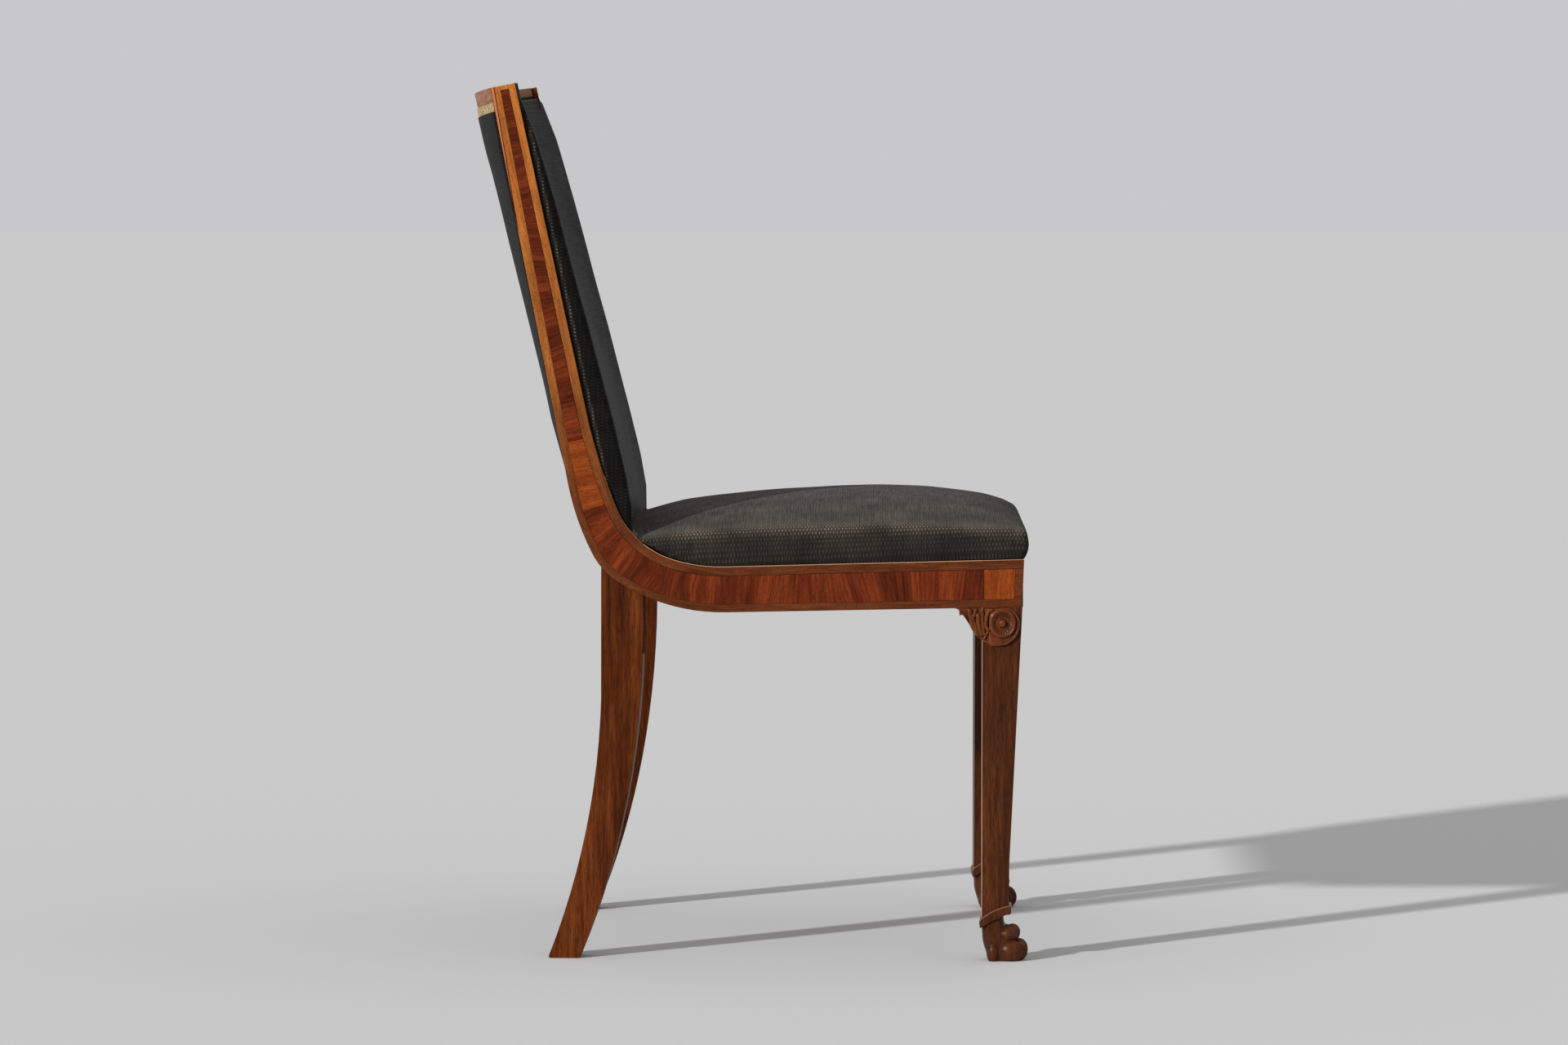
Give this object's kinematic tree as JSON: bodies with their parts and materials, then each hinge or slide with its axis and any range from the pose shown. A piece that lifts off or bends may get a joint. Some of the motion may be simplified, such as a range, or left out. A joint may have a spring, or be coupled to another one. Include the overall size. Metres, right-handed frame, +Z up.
{
  "type": "upholstered side chair",
  "caption": "Armless dining chair: veneered frame swept from seat rail to back, sabre rear legs, lion-paw front feet, scroll brackets with rosettes, dark cloth seat and back.",
  "frame": {"origin": "on the floor under the middle of the chair's overall box", "axes": "+Z up, the chair faces -Y, +X to the sitter's left, the YZ plane is the plane of symmetry"},
  "size_m": [0.4902, 0.5769, 0.8953],
  "materials": {
    "frame_wood": "french polished solid wood",
    "carved_wood": "carved and polished",
    "border_veneer": "polished golden veneer",
    "dark_veneer": "polished dark red veneer",
    "light_veneer": "polished light veneer",
    "secondary_wood": "planed, unfinished",
    "horsehair_cloth": "black woven cloth with a soft sheen",
    "woven_trim": "woven braid",
    "webbing_canvas": "jute webbing and canvas",
    "stuffing": "pressed curled hair"
  },
  "bodies": {
    "root": {"ankle_collar_left": "carved_wood", "ankle_collar_right": "carved_wood", "back_canvas": "webbing_canvas", "back_rail": "secondary_wood", "back_stuffing": "stuffing", "back_webbing": "webbing_canvas", "crest_rail": "frame_wood", "front_corner_block_left": "secondary_wood", "front_corner_block_right": "secondary_wood", "front_crossband": "dark_veneer", "front_leg_left": "frame_wood", "front_leg_right": "frame_wood", "front_light_square_left": "light_veneer", "front_light_square_right": "light_veneer", "front_lower_veneer": "border_veneer", "front_rail": "frame_wood", "front_upper_veneer": "border_veneer", "inside_back_cover": "horsehair_cloth", "inside_back_gimp": "woven_trim", "lower_edge_veneer_left": "border_veneer", "lower_edge_veneer_right": "border_veneer", "outside_back_cover": "horsehair_cloth", "outside_back_tape": "woven_trim", "paw_foot_left": "carved_wood", "paw_foot_right": "carved_wood", "rail_crossband_left": "dark_veneer", "rail_crossband_right": "dark_veneer", "rail_end_veneer_left": "border_veneer", "rail_end_veneer_right": "border_veneer", "rail_light_square_left": "light_veneer", "rail_light_square_right": "light_veneer", "rear_corner_block_left": "secondary_wood", "rear_corner_block_right": "secondary_wood", "rear_post_left": "frame_wood", "rear_post_right": "frame_wood", "rear_rail": "frame_wood", "rosette_left": "carved_wood", "rosette_right": "carved_wood", "scroll_bracket_left": "carved_wood", "scroll_bracket_right": "carved_wood", "seat_canvas": "webbing_canvas", "seat_cover": "horsehair_cloth", "seat_stuffing": "stuffing", "seat_webbing": "webbing_canvas", "side_rail_left": "frame_wood", "side_rail_right": "frame_wood", "stile_crossband_left": "dark_veneer", "stile_crossband_right": "dark_veneer", "stile_light_panel_left": "light_veneer", "stile_light_panel_right": "light_veneer", "stile_top_veneer_left": "border_veneer", "stile_top_veneer_right": "border_veneer", "upper_edge_veneer_left": "border_veneer", "upper_edge_veneer_right": "border_veneer"}
  },
  "joints": []
}
